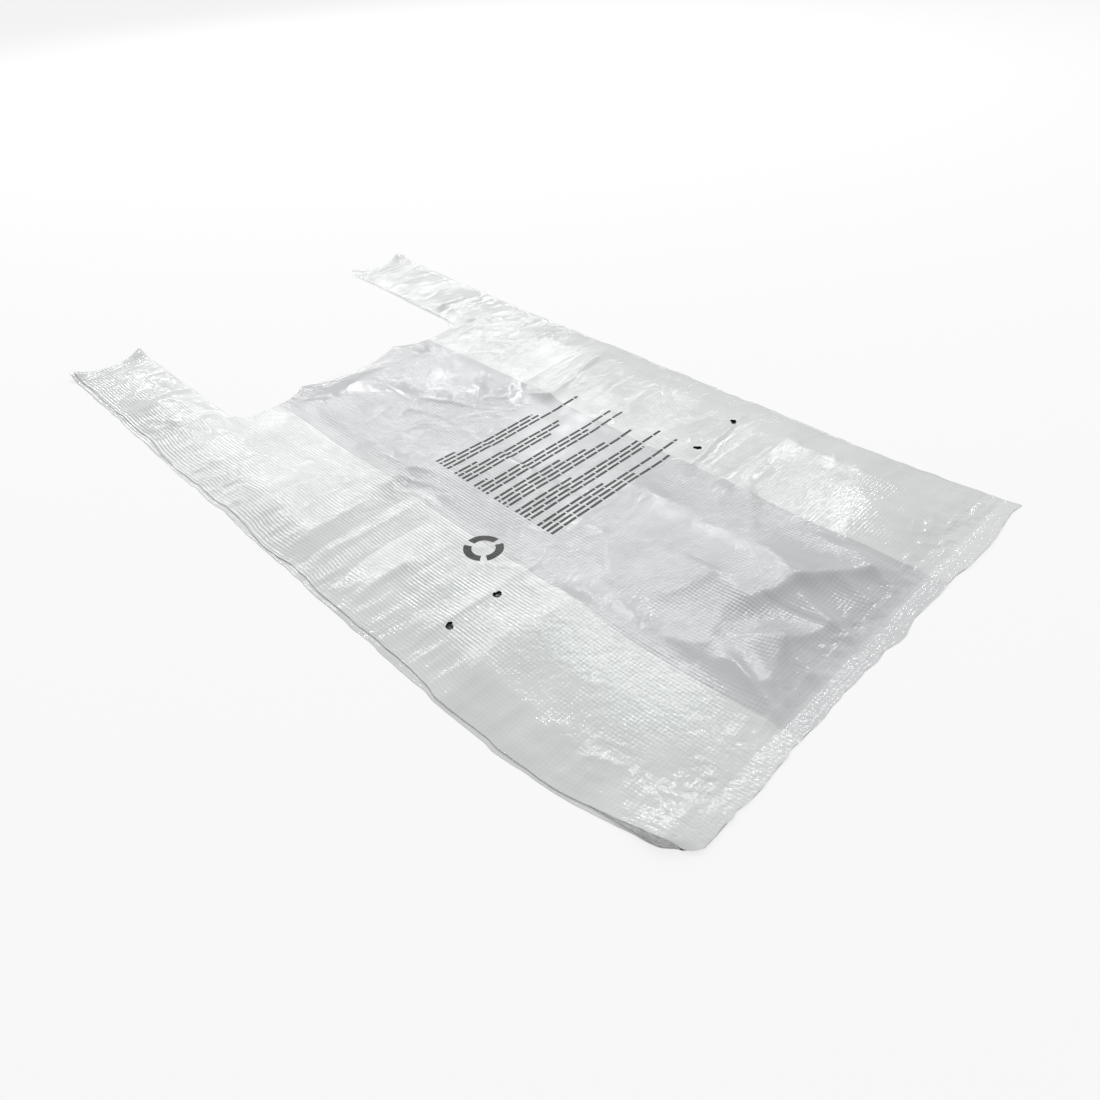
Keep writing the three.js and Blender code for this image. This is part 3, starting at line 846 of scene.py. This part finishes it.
def film_material():
    """Colour, roughness and normal from the flat place and the painted shares."""
    material = bpy.data.materials.new("milky_film")
    n = Nodes(material)
    flat = n.attribute("flat").outputs["Vector"]
    parts = n.tree.nodes.new("ShaderNodeSeparateXYZ")
    n.feed(parts.inputs[0], flat)
    x, y, layer = parts.outputs
    tucked = n.attribute("tuck").outputs["Fac"]
    doubled = n.ramp(tucked, -0.3, 0.3)
    emboss = lattice(n, x, y)
    ink = printed(n, x, y, layer)
    colour = film_colour(n, flat, y, layer, doubled, emboss, ink)
    gloss = n.ramp(n.noise(flat, 60, 3), 0.3, 0.7, 0.09, 0.16)
    n.feed(n.shader.inputs["Base Color"], colour)
    n.feed(n.shader.inputs["Roughness"], n.math("ADD", gloss, n.math("MULTIPLY", ink, INK_ROUGHNESS)))
    n.feed(n.shader.inputs["Normal"], film_normal(n, flat, x, y, tucked, emboss))
    n.shader.inputs["IOR"].default_value = FILM_IOR
    return material


film.data.materials.append(film_material())
print("film material nodes:", len(film.data.materials[0].node_tree.nodes))

# %% [markdown]
# ## Sheet facts
# The tube was cut from one flat width of film: twice the front, plus both gussets there and back,
# less what was cut out at the mouth.

# %% [markdown]
# ## The floor
# The floor is a plain pale sheet. What the camera and mirror rays see of it is lifted towards white
# by mixing in some glow, while it still takes the bag's soft shadow. A floor of pure glow would be
# whiter but would lose the shadow, and the bag would seem to float.

# %% Floor
FLOOR_SIZE = 40.0
FLOOR_GREY, FLOOR_ROUGHNESS, FLOOR_GLOW = (0.86, 0.86, 0.86, 1), 0.9, 0.7


def pale_floor():
    """One square just under the bag, seen as a mix of white glow and its own shaded grey."""
    half = FLOOR_SIZE / 2
    corners = [(-half, -half, 0), (half, -half, 0), (half, half, 0), (-half, half, 0)]
    mesh = bpy.data.meshes.new("floor")
    mesh.from_pydata(corners, [], [(0, 1, 2, 3)])
    floor = bpy.data.objects.new("floor", mesh)
    bpy.context.scene.collection.objects.link(floor)
    material = bpy.data.materials.new("pale_floor")
    n = Nodes(material)
    n.shader.inputs["Base Color"].default_value = FLOOR_GREY
    n.shader.inputs["Roughness"].default_value = FLOOR_ROUGHNESS
    n.shader.inputs["Specular IOR Level"].default_value = 0.0
    path = n.tree.nodes.new("ShaderNodeLightPath").outputs
    seen = n.math("MAXIMUM", path["Is Camera Ray"], path["Is Glossy Ray"])
    seen = n.math("MAXIMUM", seen, path["Is Transmission Ray"])
    glow = n.tree.nodes.new("ShaderNodeEmission")
    mixer = n.tree.nodes.new("ShaderNodeMixShader")
    n.feed(mixer.inputs[0], n.math("MULTIPLY", seen, FLOOR_GLOW))
    n.feed(mixer.inputs[1], n.shader.outputs[0])
    n.feed(mixer.inputs[2], glow.outputs[0])
    n.feed(n.output.inputs["Surface"], mixer.outputs[0])
    mesh.materials.append(material)
    return floor


floor = pale_floor()
print("floor", FLOOR_SIZE, "m square")

# %% [markdown]
# ## World and lamps
# Even light from every side gives the film its milky tone. Embossed film also needs something
# narrow to mirror, as it would mirror the bars of a window: two rows of tall thin lamps stand past
# the handles and to the right, and each small bump catches a few of them. One wide lamp would be
# simpler, but its mirror image fills the whole panel and hides the embossing.

# %% World and lamps
WORLD_LIGHT = 0.74
LAMP_DISTANCE, STRIP_WIDTH = 2.0, 0.04
WINDOW_AZIMUTHS, WINDOW_ELEVATION, WINDOW_HEIGHT, WINDOW_WATTS = (8, 17, 26, 35, 44), 29, 0.9, 1.8
SIDE_AZIMUTHS, SIDE_ELEVATION, SIDE_HEIGHT, SIDE_WATTS = (44, 54, 64, 74), 44, 0.8, 2.1


def even_world():
    """The same pale light from every side."""
    world = bpy.data.worlds.new("studio")
    bpy.context.scene.world = world
    world.use_nodes = True
    background = world.node_tree.nodes["Background"]
    background.inputs["Color"].default_value = (1, 1, 1, 1)
    background.inputs["Strength"].default_value = WORLD_LIGHT


def strip_lamp(name, azimuth, elevation, height, watts):
    """A tall thin lamp facing the bag's middle, its azimuth counted from +Y towards +X."""
    a, e = np.radians([azimuth, elevation])
    back = np.array([np.sin(a) * np.cos(e), np.cos(a) * np.cos(e), np.sin(e)])
    data = bpy.data.lights.new(name, "AREA")
    data.shape = "RECTANGLE"
    data.size = STRIP_WIDTH
    data.size_y = height
    data.energy = watts
    lamp = bpy.data.objects.new(name, data)
    lamp.matrix_world = placed(*across_and_up(back), back, back * LAMP_DISTANCE)
    bpy.context.scene.collection.objects.link(lamp)


even_world()
for number, azimuth in enumerate(WINDOW_AZIMUTHS):
    strip_lamp(f"window_strip_{number}", azimuth, WINDOW_ELEVATION, WINDOW_HEIGHT, WINDOW_WATTS)
for number, azimuth in enumerate(SIDE_AZIMUTHS):
    strip_lamp(f"side_strip_{number}", azimuth, SIDE_ELEVATION, SIDE_HEIGHT, SIDE_WATTS)
bpy.context.scene.view_settings.view_transform = "Standard"
